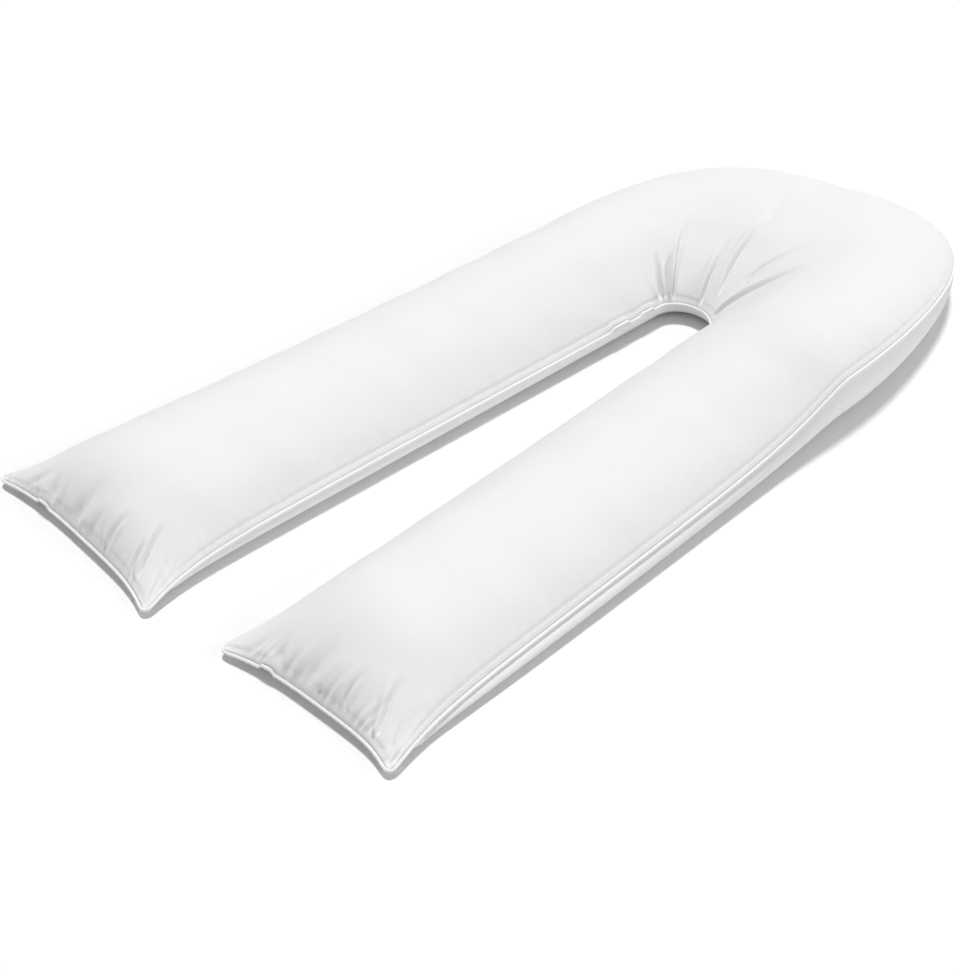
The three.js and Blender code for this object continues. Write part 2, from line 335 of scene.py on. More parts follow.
    def under(self, st: Stations, even: Array, t: Array) -> Array:
        """The under face: flat where it rests, then a superelliptic round up to the seam.

        The round bulges outwards by a parabola of its rise.

        Args:
            st: The sections.
            even: Place across of evenly spaced steps, from 0 to 1.
            t: Place across of the upper face's steps, which the ends' steps follow.

        Returns:
            Points by section and step.
        """
        out = np.abs(2 * even - 1)
        angle = np.clip((out - self.rest_steps_share) / (1 - self.rest_steps_share), 0, 1) * math.pi / 2
        flat = self.rest_share * np.minimum(out, self.rest_steps_share) / self.rest_steps_share
        across = flat + (1 - self.rest_share) * np.sin(angle) ** (2 / self.rest_round)
        settled = np.clip(st.from_end / self.settle, 0, 1)[:, None]
        u = blend(2 * t - 1, np.sign(even - 0.5) * across, settled)
        side_rise = 1 - np.cos(angle) ** (2 / self.rest_round)
        near = np.clip(1 - st.from_end / self.rest_end, 0, 1)[:, None]
        end_rise = 1 - (1 - near**self.rest_round) ** (1 / self.rest_round)
        rise = 1 - (1 - side_rise) * (1 - end_rise)
        near_bend = st.to_bend[:, None] ** 2
        bulge = np.where(u < 0, *(blend(*ends, near_bend) for ends in (self.bulge_inner, self.bulge_outer)))
        bulge = bulge * (1 - np.exp(-st.from_end / self.seam_fade))[:, None]
        outward = (st.outer - st.inner) / st.width
        bulge = 4 * bulge * rise * (1 - rise) * np.sign(u)
        point = self.plan(st, (u + 1) / 2) + outward[:, None] * bulge[..., None]
        return np.dstack([point, rise * (self.seam_height(st, u) - self.seam_edge / 2)])

    def seam_line(self, arm_steps: int, bend_steps: int, cross_places: int) -> Array:
        """The seam line once round.

        Args:
            arm_steps: Steps along each arm.
            bend_steps: Steps round the bend.
            cross_places: Places across each open end.

        Returns:
            The line's points, not evenly apart.
        """
        st = self.stations(arm_steps, bend_steps, self.line_growth)
        t = np.repeat(np.linspace(0, 1, cross_places)[None], len(st.side), axis=0)
        return border(np.dstack([self.plan(st, t), self.seam_height(st, 2 * t - 1)]))


def border(grid: Array, rows_in: int = 0, columns_in: int = 0) -> Array:
    """A grid's values once round it, this many rows and columns in from its border.

    Args:
        grid: Values on the grid, rows first.
        rows_in: Rows left out at each end.
        columns_in: Columns left out at each side.

    Returns:
        The values of the ring, without repeating its first one.
    """
    rows, columns = grid.shape[:2]
    inside = grid[rows_in:rows - rows_in, columns_in:columns - columns_in]
    first, last = inside[0, :-1], inside[-1, :0:-1]
    return np.concatenate([first, inside[:-1, -1], last, inside[:0:-1, 0]])


@dataclass(frozen=True)
class Crease:
    """A crease in the cloth along a curve through three places.

    Attributes:
        start: Where it begins, via a place in its middle, and end where it has died away.
        depth: Depth of the trough, and width its half width.
        ridge: Height of the fold beside the trough, on its left from the start on where positive.
        widening: Shares of the width at the start and the end.
        fold: The fold's place and half width, and reach how far out it is worked out, in widths.
        swell: Power of the way along whose sine is its strength, and samples the curve's points.
    """

    start: Pair
    via: Pair
    end: Pair
    depth: float
    width: float
    ridge: float
    widening: Pair = (0.85, 1.75)
    fold: Pair = (2.1, 1.1)
    reach: float = 8.0
    swell: float = 0.65
    samples: int = 61

    def curve(self) -> Array:
        """The parabola through the three places, at even shares of the way along it."""
        start, via, end = np.array(self.start), np.array(self.via), np.array(self.end)
        way = np.linspace(0.0, 1.0, self.samples)[:, None]
        return start * (1 - way) * (1 - 2 * way) + via * 4 * way * (1 - way) + end * way * (2 * way - 1)

    def trough(self, across: Array, along: Array, scale: Array) -> Array:
        """Depth of the crease at places of its own plane.

        A bell across the curve, with a lower bell beside it for the fold. It widens along the
        curve, and swells and dies away as a sine of the way along it.

        Args:
            across: First coordinate of each place.
            along: Second coordinate.
            scale: Metres for a unit of the first coordinate at each place.

        Returns:
            The depth at each place.
        """
        curve, via = self.curve(), np.array(self.via)
        longest = max(np.hypot(*((tip - via) * (np.max(scale), 1))) for tip in (self.start, self.end))
        from_via = np.hypot((across - via[0]) * scale, along - via[1])
        picked = from_via < longest + self.reach * self.width
        place = np.stack([across[picked], along[picked]], axis=1)
        unit = np.broadcast_to(scale, along.shape)[picked][:, None]
        unit = np.hstack([unit, np.ones_like(unit)])
        apart = (place[:, None] - curve) * unit[:, None]
        nearest = np.argmin((apart**2).sum(axis=2), axis=1)
        ahead = np.gradient(curve, axis=0)[nearest] * unit
        step = np.linalg.norm(ahead, axis=1)
        ahead /= step[:, None]
        off = apart[np.arange(len(place)), nearest]
        left = ahead[:, 0] * off[:, 1] - ahead[:, 1] * off[:, 0]
        share = np.clip((nearest + (ahead * off).sum(axis=1) / step) / (self.samples - 1), 0, 1)
        width = self.width * blend(*self.widening, share)
        fold_place, fold_width = (part * width for part in self.fold)
        fold = abs(self.ridge) * bell(left - np.sign(self.ridge) * fold_place, fold_width)
        depth = np.zeros_like(along)
        depth[picked] = np.sin(np.pi * share**self.swell) * (self.depth * bell(left, width) - fold)
        return depth


@dataclass(frozen=True)
class Slit:
    """A stretch of the seam where its two panels part a little.

    Attributes:
        place: Its middle in plan, and half its length each way.
        rise: How far the upper panel lifts.
    """

    place: Pair
    half: float
    rise: float


@dataclass(frozen=True)
class Swell:
    """A slow swell of the filling.

    Attributes:
        share: Its share of the unevenness.
        turn: Phase of its first sine.
        first: The first sine's wave lengths along X and Y, and second those of the sine across it.
    """

    share: float
    turn: float
    first: Pair
    second: Pair

    def height(self, x: Array, y: Array) -> Array:
        """The product of both sines, times the share."""
        first = np.sin(2 * np.pi * (x / self.first[0] + y / self.first[1]) + self.turn)
        return self.share * first * np.sin(2 * np.pi * (x / self.second[0] + y / self.second[1]))


@dataclass(frozen=True)
class Relief:
    """What the filling and the seam do to the cloth: creases, seam puckers and soft unevenness.

    The bend's creases are placed in plan from the centre of the bend's inner edge. The end creases
    are placed by the share of the way from the ear towards -X to the one towards +X, and by the
    distance from the end.
    distance from the end. Fields ending in _in are distances from the seam, in _turn phases.
    """

    bend_creases: tuple[Crease, ...] = (
        Crease((0.030, 0.034), (0.081, 0.094), (0.140, 0.186), 0.0094, 0.0028, 0.0054),
        Crease((0.041, 0.090), (0.054, 0.148), (0.098, 0.232), 0.0066, 0.0030, -0.0038),
        Crease((0.016, 0.064), (-0.004, 0.130), (-0.012, 0.212), 0.0087, 0.0026, 0.0052),
        Crease((-0.008, 0.185), (-0.024, 0.245), (-0.060, 0.303), 0.0026, 0.0080, 0.0008),
        Crease((-0.002, 0.039), (-0.019, 0.084), (-0.036, 0.146), 0.0096, 0.0025, 0.0048),
        Crease((-0.038, 0.019), (-0.071, 0.062), (-0.107, 0.122), 0.0100, 0.0025, 0.0054),
        Crease((-0.049, 0.012), (-0.066, 0.033), (-0.087, 0.061), 0.0093, 0.0022, -0.0056),
        Crease((-0.046, 0.005), (-0.068, 0.017), (-0.099, 0.039), 0.0092, 0.0024, -0.0046),
    )
    end_creases: tuple[Crease, ...] = (
        Crease((0.14, 0.004), (0.16, 0.016), (0.22, 0.040), 0.0030, 0.0060, 0.0014),
        Crease((0.30, 0.000), (0.27, 0.008), (0.22, 0.028), 0.0072, 0.0052, 0.0024),
        Crease((0.35, 0.000), (0.34, 0.010), (0.31, 0.026), 0.0030, 0.0026, 0.0016),
        Crease((0.46, 0.000), (0.46, 0.014), (0.49, 0.048), 0.0066, 0.0085, -0.0022),
        Crease((0.57, 0.000), (0.565, 0.010), (0.58, 0.028), 0.0026, 0.0030, 0.0014),
        Crease((0.680, 0.002), (0.662, 0.014), (0.690, 0.038), 0.0060, 0.0024, 0.0030),
        Crease((0.705, 0.006), (0.700, 0.016), (0.715, 0.032), 0.0028, 0.0021, 0.0012),
        Crease((0.830, 0.003), (0.820, 0.014), (0.805, 0.034), 0.0068, 0.0024, -0.0024),
        Crease((0.866, 0.007), (0.845, 0.026), (0.820, 0.060), 0.0085, 0.0026, 0.0050),
        Crease((0.968, 0.004), (0.950, 0.018), (0.915, 0.042), 0.0060, 0.0026, -0.0030),
        Crease((0.990, 0.012), (0.968, 0.030), (0.935, 0.058), 0.0040, 0.0026, -0.0022),
    )
    far_shift: float = 0.022
    far_stretch: float = 1.2
    bend_crease_in: float = 0.008
    end_crease_in: float = 0.010
    slits: tuple[Slit, ...] = (
        Slit((0.133, -0.019), 0.013, 0.0060),
        Slit((-0.332, -0.048), 0.014, 0.0060),
        Slit((-0.055, 0.830), 0.022, 0.0050),
        Slit((-0.053, 0.890), 0.017, 0.0045),
    )
    slit_fade: float = 0.006
    slit_depth: float = 0.009
    pucker_fade: float = 0.014
    pucker_rise: float = 0.004
    pucker_end: float = 0.0034
    pucker_inner: float = 0.0016
    pucker_outer: float = 0.0009
    pucker_under: float = 0.0010
    pucker_bend_share: float = 0.15
    gather_pitch: float = 0.014
    gather_wander: float = 1.9
    gather_wander_pitch: float = 0.083
    gather_strength_pitch: float = 0.059
    gather_strength_turn: float = 2.3
    inner_turn: float = 0.4
    outer_turn: float = 2.1
    end_turn: Pair = (0.9, 3.3)
    under_turn: float = 1.3
    uneven: float = 0.0009
    uneven_in: float = 0.030
    swells: tuple[Swell, ...] = (
        Swell(1.0, 0.7, (0.19, 0.31), (-0.40, 0.23)),
        Swell(0.7, 2.1, (0.13, -0.17), (0.22, 0.29)),
        Swell(0.4, 4.0, (0.31, 0.11), (-0.11, 0.19)),
    )
    groove_depth: float = 0.0014
    groove_in: float = 0.0036
    groove_width: float = 0.0017

    def bend_depth(self, plan: Array, form: PillowForm) -> Array:
        """Depth of the bend's creases at plan points."""
        across, along = plan[..., 0], plan[..., 1] - form.bend_inner_y
        return sum(crease.trough(across, along, np.array(1.0)) for crease in self.bend_creases)

    def end_depth(self, st: Stations, t: Array) -> Array:
        """Depth of the end creases. Those of the far arm are moved and drawn out a little.

        Args:
            st: The sections.
            t: Places across.

        Returns:
            Depths by section and step.
        """
        near = st.side[:, None] > 0
        across = np.where(near, t, 1 - t - self.far_shift)
        along = np.broadcast_to(st.from_end[:, None] / np.where(near, 1.0, self.far_stretch), t.shape)
        return sum(crease.trough(across, along, st.width) for crease in self.end_creases)

    def parting(self, plan: Array) -> Array:
        """How far the slits lift the upper panel's edge, with soft ends to each slit.

        Args:
            plan: Places of which X and Y are read.

        Returns:
            The lift at each place.
        """
        rise = np.zeros(plan.shape[:-1])
        for slit in self.slits:
            off = np.hypot(plan[..., 0] - slit.place[0], plan[..., 1] - slit.place[1])
            rise += slit.rise * smooth_step((slit.half - off) / self.slit_fade)
        return rise

    def gathers(self, along: Array, turn: float | Array) -> Array:
        """Uneven ripples along a seam, between -1 and 1.

        A sine whose phase wanders, times a slower sine that lets some of them vanish.

        Args:
            along: Distance along the seam.
            turn: Phase that sets seams apart.

        Returns:
            The ripples.
        """
        wave = 2 * np.pi * along
        wander = self.gather_wander * np.sin(wave / self.gather_wander_pitch + turn)
        strength = 0.5 + 0.5 * np.sin(wave / self.gather_strength_pitch + self.gather_strength_turn * turn)
        return np.sin(wave / self.gather_pitch + wander + turn) * strength

    def puckers(self, st: Stations, t: Array, face: Face) -> Array:
        """Ripples square to the seam that start at it and die away a little way in.

        At a distance d from the seam they stand (1 - exp(-d / rise)) * exp(-d / fade) high, times
        the gathers along it. They are lower on the under face, and inside the bend.

        Args:
            st: The sections.
            t: Places across.
            face: The panel that they are on.

        Returns:
            Heights by section and step.
        """
        upper = face is Face.UPPER
        face_turn = 0.0 if upper else self.under_turn
        face_share = 1.0 if upper else self.pucker_under / self.pucker_end

        def edge(inward: Array, along: Array, height: float, turn: float | Array) -> Array:
            """Ripples beside one seam, at a distance inward of it."""
            swell = (1 - np.exp(-inward / self.pucker_rise)) * np.exp(-inward / self.pucker_fade)
            return face_share * height * swell * self.gathers(along, face_turn + turn)

        from_inner, from_outer = t * st.width, (1 - t) * st.width
        end_turn = np.where(st.side > 0, *self.end_turn)[:, None]
        inner = edge(from_inner, st.travel, self.pucker_inner, self.inner_turn)
        inner = inner * blend(1.0, self.pucker_bend_share, st.bend[:, None])
        outer = edge(from_outer, st.travel, self.pucker_outer, self.outer_turn)
        return inner + outer + edge(st.from_end[:, None], from_inner, self.pucker_end, end_turn)

    def unevenness(self, plan: Array) -> Array:
        """Slow swells of the filling at plan points."""
        return self.uneven * sum(swell.height(plan[..., 0], plan[..., 1]) for swell in self.swells)

    @staticmethod
    def inward(st: Stations, t: Array) -> Array:
        """Distance from the nearest seam."""
        return np.minimum(np.minimum(t, 1 - t) * st.width, st.from_end[:, None])

    def upper_rise(self, form: PillowForm, st: Stations, t: Array) -> Array:
        """How far the upper face stands out of its smooth form, along its normal.

        Args:
            form: The smooth form.
            st: The sections.
            t: Places across.

        Returns:
            Distances by section and step.
        """
        plan = form.plan(st, t)
        inward = self.inward(st, t)
        rise = self.puckers(st, t, Face.UPPER)
        rise = rise + self.unevenness(plan) * smooth_step(inward / self.uneven_in)
        rise = rise - self.bend_depth(plan, form) * smooth_step(inward / self.bend_crease_in)
        rise = rise - self.end_depth(st, t) * smooth_step(inward / self.end_crease_in)
        return rise - self.groove_depth * bell(inward - self.groove_in, self.groove_width)

    def under_rise(self, st: Stations, t: Array) -> Array:
        """How far the under face stands out of its smooth form beside the seam."""
        return self.puckers(st, t, Face.UNDER)


def grid_normals(points: Array) -> Array:
    """Unit normals of a grid of points: the cross product of the steps along and down it."""
    normal = np.cross(np.gradient(points, axis=1), np.gradient(points, axis=0))
    return normal / np.maximum(np.linalg.norm(normal, axis=2, keepdims=True), TINY)


def ring_steps(loop: Array) -> Array:
    """Distance from the first point to each point of a closed line, and round to the first again."""
    step = np.linalg.norm(np.roll(loop, -1, axis=0) - loop, axis=1)
    return np.concatenate([[0.0], np.cumsum(step)])


def resample(loop: Array, pitch: float) -> Array:
    """A closed line's values at equal distances.

    Args:
        loop: Values by point, of which the first three are its place.
        pitch: The distance, which is changed a little so that it closes evenly.

    Returns:
        Values by new point.
    """
    travel = ring_steps(loop[:, :3])
    at = np.linspace(0.0, travel[-1], int(round(travel[-1] / pitch)), endpoint=False)
    closed = np.vstack([loop, loop[:1]])
    return np.stack([np.interp(at, travel, column) for column in closed.T], axis=1)


def soften(loop: Array, passes: int) -> Array:
    """A closed line with each point moved to the middle of its neighbours and itself, repeatedly."""
    for _ in range(passes):
        loop = (np.roll(loop, 1, axis=0) + 2 * loop + np.roll(loop, -1, axis=0)) / 4
    return loop


def level_outward(loop: Array) -> Array:
    """Level unit vectors out of a closed line that runs anticlockwise, square to it."""
    ahead = np.roll(loop, -1, axis=0) - np.roll(loop, 1, axis=0)
    outward = np.stack([ahead[:, 1], -ahead[:, 0], np.zeros(len(loop))], axis=1)
    return outward / np.linalg.norm(outward, axis=1, keepdims=True)


def cells(grid: Array) -> Array:
    """Values by cell and corner of a grid, anticlockwise where rows run down and columns along."""
    corners = (grid[:-1, :-1], grid[:-1, 1:], grid[1:, 1:], grid[1:, :-1])
    return np.stack([corner.reshape(-1, *grid.shape[2:]) for corner in corners], axis=1)


def circles(first: Array, second: Array, sides: int) -> Array:
    """Unit circles, cos(angle) * first + sin(angle) * second for each pair of unit vectors."""
    angle = 2 * np.pi * np.arange(sides)[:, None] / sides
    return np.cos(angle) * first[:, None] + np.sin(angle) * second[:, None]


def add_object(name: str, data: bpy.types.ID) -> bpy.types.Object:
    """A new object of the scene, at the origin."""
    made = bpy.data.objects.new(name, data)
    bpy.context.scene.collection.objects.link(made)
    return made


def mesh_object(name: str, points: Array, faces: list[Array], uv: list[Array]) -> bpy.types.Object:
    """A smooth-shaded mesh object from whole arrays.

    Args:
        name: The piece's name.
        points: Vertices, one row each.
        faces: Corner indices, one array for each number of corners, a row for each face.
        uv: Cloth coordinates in metres of the same faces' corners.

    Returns:
        The linked object, at the origin.
    """
    mesh = bpy.data.meshes.new(name)
    corners = np.concatenate([group.ravel() for group in faces])
    counts = np.concatenate([np.full(len(group), group.shape[1]) for group in faces])
    mesh.vertices.add(len(points))
    mesh.vertices.foreach_set("co", points.astype(np.float32).ravel())
    mesh.loops.add(len(corners))
    mesh.loops.foreach_set("vertex_index", corners.astype(np.int32))
    mesh.polygons.add(len(counts))
    mesh.polygons.foreach_set("loop_start", (np.cumsum(counts) - counts).astype(np.int32))
    mesh.polygons.foreach_set("use_smooth", np.ones(len(counts), dtype=bool))
    mesh.update(calc_edges=True)
    layer = mesh.uv_layers.new(name="cloth")
    corner_uv = np.concatenate([group.reshape(-1, 2) for group in uv])
    layer.data.foreach_set("uv", corner_uv.astype(np.float32).ravel())
    mesh.validate()
    return add_object(name, mesh)


def set_sockets(node: bpy.types.Node, values: dict[str, float | tuple[float, ...]]) -> None:
    """Sets constants on a node's own sockets, by their names."""
    for name, value in values.items():
        node.inputs[name].default_value = value


@dataclass(frozen=True)
class ClothFinish:
    """Plain-woven white cloth.

    Attributes:
        name: The material's name.
        color: Its colour, and shade the colour of its slightly duller patches.
        patches: Scale and detail of the patches' noise.
        roughness: Spread of its gloss, gloss its strength, and sheen that of the fibres' sheen.
        thread: Distance between the threads, weave their depth, and waves distortion and detail.
        crumple: Depth of the fine crumples, and crumples their noise's scale, detail, roughness.
    """

    name: str
    color: tuple[float, float, float]
    shade: tuple[float, float, float]
    patches: Pair = (9.0, 4.0)
    roughness: float = 0.82
    gloss: float = 0.25
    sheen: float = 0.22
    sheen_spread: float = 0.45
    thread: float = 0.0006
    weave: float = 0.00008
    waves: Pair = (0.4, 1.0)
    crumple: float = 0.0006
    crumples: tuple[float, float, float] = (42.0, 5.0, 0.55)

    def material(self) -> bpy.types.Material:
        """The finish as a node material.

        Colour: two close whites mixed by a slow noise on Object coordinates. Bump: the weave, two
        crossed waves on the cloth's own coordinates, over fine crumples from a noise.

        Returns:
            The material.
        """
        made = bpy.data.materials.new(self.name)
        made.use_nodes = True
        nodes, links = made.node_tree.nodes, made.node_tree.links
        shader, place = nodes["Principled BSDF"], nodes.new("ShaderNodeTexCoord")
        set_sockets(shader, {"Roughness": self.roughness, "Specular IOR Level": self.gloss})
        set_sockets(shader, {"Sheen Weight": self.sheen, "Sheen Roughness": self.sheen_spread})

        patches, tint = nodes.new("ShaderNodeTexNoise"), nodes.new("ShaderNodeMix")
        tint.data_type = "RGBA"
        set_sockets(patches, dict(zip(("Scale", "Detail"), self.patches)))
        set_sockets(tint, {"A": (*self.color, 1.0), "B": (*self.shade, 1.0)})
        links.new(place.outputs["Object"], patches.inputs["Vector"])
        links.new(patches.outputs["Fac"], tint.inputs["Factor"])
        links.new(tint.outputs["Result"], shader.inputs["Base Color"])

        crumples, soft = nodes.new("ShaderNodeTexNoise"), nodes.new("ShaderNodeBump")
        set_sockets(crumples, dict(zip(("Scale", "Detail", "Roughness"), self.crumples)))
        set_sockets(soft, {"Distance": self.crumple, "Strength": 1.0})
        links.new(place.outputs["Object"], crumples.inputs["Vector"])
        links.new(crumples.outputs["Fac"], soft.inputs["Height"])

        crossing, woven = nodes.new("ShaderNodeMath"), nodes.new("ShaderNodeBump")
        crossing.operation = "MAXIMUM"
        for socket, direction in zip(crossing.inputs, ("X", "Y")):
            wave = nodes.new("ShaderNodeTexWave")
            wave.wave_type, wave.bands_direction = "BANDS", direction
            set_sockets(wave, {"Scale": WAVE_LENGTH / self.thread})
            set_sockets(wave, dict(zip(("Distortion", "Detail"), self.waves)))
            links.new(place.outputs["UV"], wave.inputs["Vector"])
            links.new(wave.outputs["Fac"], socket)
        set_sockets(woven, {"Distance": self.weave, "Strength": 1.0})
        links.new(crossing.outputs["Value"], woven.inputs["Height"])
        links.new(soft.outputs["Normal"], woven.inputs["Normal"])
        links.new(woven.outputs["Normal"], shader.inputs["Normal"])
        return made


@dataclass(frozen=True)
class Filling:
    """The filling's push against the panels, worked out by a cloth simulation.

    Attributes:
        pressure: Push of the filling.
        frames: Frames simulated, and quality the steps in a frame.
        cap: Furthest that a point may move.
        every: The simulated cloth has every such section and step of the finished one.
    """

    pressure: float = 4.0
    frames: int = 20
    quality: int = 5
    cap: float = 0.0025
    every: int = 3

    def settle(self, upper: Array, under: Array) -> Array:
        """Simulates the upper panel between its pinned seams.

        Args:
            upper: The smooth upper face by section and step.
            under: The under face on the same sections and steps.

        Returns:
            How each point of the upper face moves, at most by the cap.
        """
        coarse = np.stack([face[:: self.every, :: self.every] for face in (upper, under)])
        shape, points = coarse.shape[1:3], coarse.reshape(-1, 3)
        count = len(points) // 2
        index = np.arange(count).reshape(shape)
        ring = border(index)
        after = np.roll(ring, -1)
        strip = np.stack([count + ring, count + after, after, ring], axis=1)
        faces = np.concatenate([cells(index), cells(count + index)[:, ::-1], strip])
        panel = mesh_object("simulated_panel", points, [faces], [np.zeros((len(faces), 4, 2))])
        group = panel.vertex_groups.new(name="pinned")
        group.add(np.concatenate([ring, count + index.ravel()]).tolist(), 1.0, "REPLACE")
        cloth = panel.modifiers.new("cloth", "CLOTH")
        cloth.settings.quality = self.quality
        cloth.settings.vertex_group_mass = group.name
        cloth.settings.use_pressure = True
        cloth.settings.uniform_pressure_force = self.pressure
        cloth.settings.effector_weights.gravity = 0.0
        cloth.collision_settings.use_self_collision = False
        cloth.point_cache.frame_start = 1
        cloth.point_cache.frame_end = self.frames
        for step in range(1, self.frames + 1):
            bpy.context.scene.frame_set(step)
        shown = panel.evaluated_get(bpy.context.evaluated_depsgraph_get())
        moved = np.empty(points.size, dtype=np.float32)
        shown.data.vertices.foreach_get("co", moved)
        bpy.context.scene.frame_set(1)
        bpy.data.objects.remove(panel)
        move = (moved.reshape(-1, 3) - points)[:count].reshape(*shape, 3)
        length = np.linalg.norm(move, axis=2, keepdims=True)
        move = move * self.cap * np.tanh(length / self.cap) / np.maximum(length, TINY)
        LOG.info("simulated panel moved by up to %.1f mm", 1000 * np.linalg.norm(move, axis=2).max())
        return self.spread(self.spread(move, len(upper), 0), upper.shape[1], 1)

    def spread(self, values: Array, count: int, axis: int) -> Array:
        """Values between the simulated sections or steps, by cubics with matched slopes.

        Args:
            values: Values by simulated section and step.
            count: Finished sections or steps.
            axis: 0 for sections and 1 for steps.

        Returns:
            The values at each finished one.
        """
        at = np.arange(count) / self.every
        low = np.minimum(at.astype(int), values.shape[axis] - 2)
        part = (at - low).reshape([-1, 1, 1] if axis == 0 else [1, -1, 1])
        slope = np.gradient(values, axis=axis)
        start, end = np.take(values, low, axis), np.take(values, low + 1, axis)
        leave, arrive = np.take(slope, low, axis), np.take(slope, low + 1, axis)
        square, cube = part**2, part**3
        first = (2 * cube - 3 * square + 1) * start + (cube - 2 * square + part) * leave
        return first + (3 * square - 2 * cube) * end + (cube - square) * arrive


@dataclass
class PillowBody:
    """The two sewn panels and their filling as one closed body.

    The under face has half the upper one's sections and steps. Between them runs the sewn edge,
    with a middle row that is drawn inwards where the seam has a slit.
    """

    form: PillowForm
    relief: Relief
    filling: Filling
    shift: Array
    finish: ClothFinish
    fill: float = 0.8
    arm_steps: int = 126
    bend_steps: int = 276
    growth: float = 1.5
    cross_steps: int = 144
    closer: float = 0.4
    upper: Array = field(init=False)

    def steps(self) -> tuple[Array, Array]:
        """Even steps across, and the same drawn closer together near the seams."""
        even = np.arange(self.cross_steps + 1)[None] / self.cross_steps
        return even, blend(even, (1 - np.cos(np.pi * even)) / 2, self.closer)

    def stations(self) -> Stations:
        """The sections of the upper face."""
        return self.form.stations(self.arm_steps, self.bend_steps, self.growth)

    def faces(self) -> tuple[Array, Array]:
        """Upper and under face of the body, worked out on the plan.

        Returns:
            The upper and the under face's points, each by section and step.
        """
        st = self.stations()
        even, t = (np.repeat(row, len(st.side), axis=0) for row in self.steps())
        upper, under = self.form.upper(st, t), self.form.under(st, even, t)
        rise = self.relief.upper_rise(self.form, st, t)
        upper = upper + self.filling.settle(upper, under)
        upper = upper + grid_normals(upper) * rise[..., None]
        near_seam = np.exp(-self.relief.inward(st, t) / self.relief.slit_fade)
        upper[..., 2] += self.relief.parting(upper) * near_seam
        under = under - grid_normals(under) * self.relief.under_rise(st, t)[..., None]
        under[..., 2] = np.maximum(under[..., 2], 0.0)
        return upper + self.shift, under[::2, ::2] + self.shift

    def edge(self, top: Array, bottom: Array) -> Array:
        """The sewn edge's middle row, half as dense as the upper face's edge.

        It lies between both faces' edges, and is drawn inwards where the seam has a slit.

        Args:
            top: The upper face's edge.
            bottom: The under face's edge.

        Returns:
            The row's points.
        """
        middle = (top[::2] + bottom) / 2
        parted = self.relief.parting(middle - self.shift) / max(slit.rise for slit in self.relief.slits)
        return middle - level_outward(middle) * self.relief.slit_depth * parted[:, None]

    def edge_cloth(self, travel: Array) -> list[Array]:
        """Cloth coordinates of the two strips of faces that make the sewn edge.

        Args:
            travel: Distance to each point of the upper face's edge, and round to the first again.

        Returns:
            Coordinates by face and corner, of the lower and of the upper strip.
        """
        start, half, end = travel[:-1:2], travel[1:-1:2], travel[2::2]
        lower = ((start, 0.0), (end, 0.0), (end, 0.5), (start, 0.5))
        upper = ((start, 0.5), (end, 0.5), (end, 1.0), (half, 1.0), (start, 1.0))
        thick = self.form.seam_edge
        strips = []
        for row in (lower, upper):
            corners = [np.stack([at, np.full_like(at, share * thick)], 1) for at, share in row]
            strips.append(np.stack(corners, 1))
        return strips

    def build(self) -> bpy.types.Object:
        """Joins both faces round the edge into one closed mesh, and dresses it.

        Returns:
            The piece.
        """
        self.upper, under = self.faces()
        top, bottom = border(self.upper), border(under)
        middle = self.edge(top, bottom)
        points = np.concatenate([self.upper.reshape(-1, 3), under.reshape(-1, 3), middle])
        index = np.arange(self.upper[..., 0].size).reshape(self.upper.shape[:2])
        low_index = index.size + np.arange(under[..., 0].size).reshape(under.shape[:2])
        ring, low_ring = border(index), border(low_index)
        middle_ring = index.size + low_index.size + np.arange(len(middle))
        after = np.roll(middle_ring, -1)
        lower_strip = np.stack([low_ring, np.roll(low_ring, -1), after, middle_ring], axis=1)
        upper_strip = np.stack([middle_ring, after, np.roll(ring, -2)[::2], ring[1::2], ring[::2]], axis=1)
        faces = [cells(index), cells(low_index)[:, ::-1], lower_strip, upper_strip]

        st = self.stations()
        across = self.steps()[1] * st.width
        cloth = np.dstack([np.broadcast_to(st.travel, across.shape), across])
        uv = [cells(cloth), cells(cloth[::2, ::2])[:, ::-1], *self.edge_cloth(ring_steps(top))]
        piece = mesh_object("pillow_body", points, faces, uv)
        piece.data.materials.append(self.finish.material())
        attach(piece, BODY)
        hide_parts("cushion")
        return piece


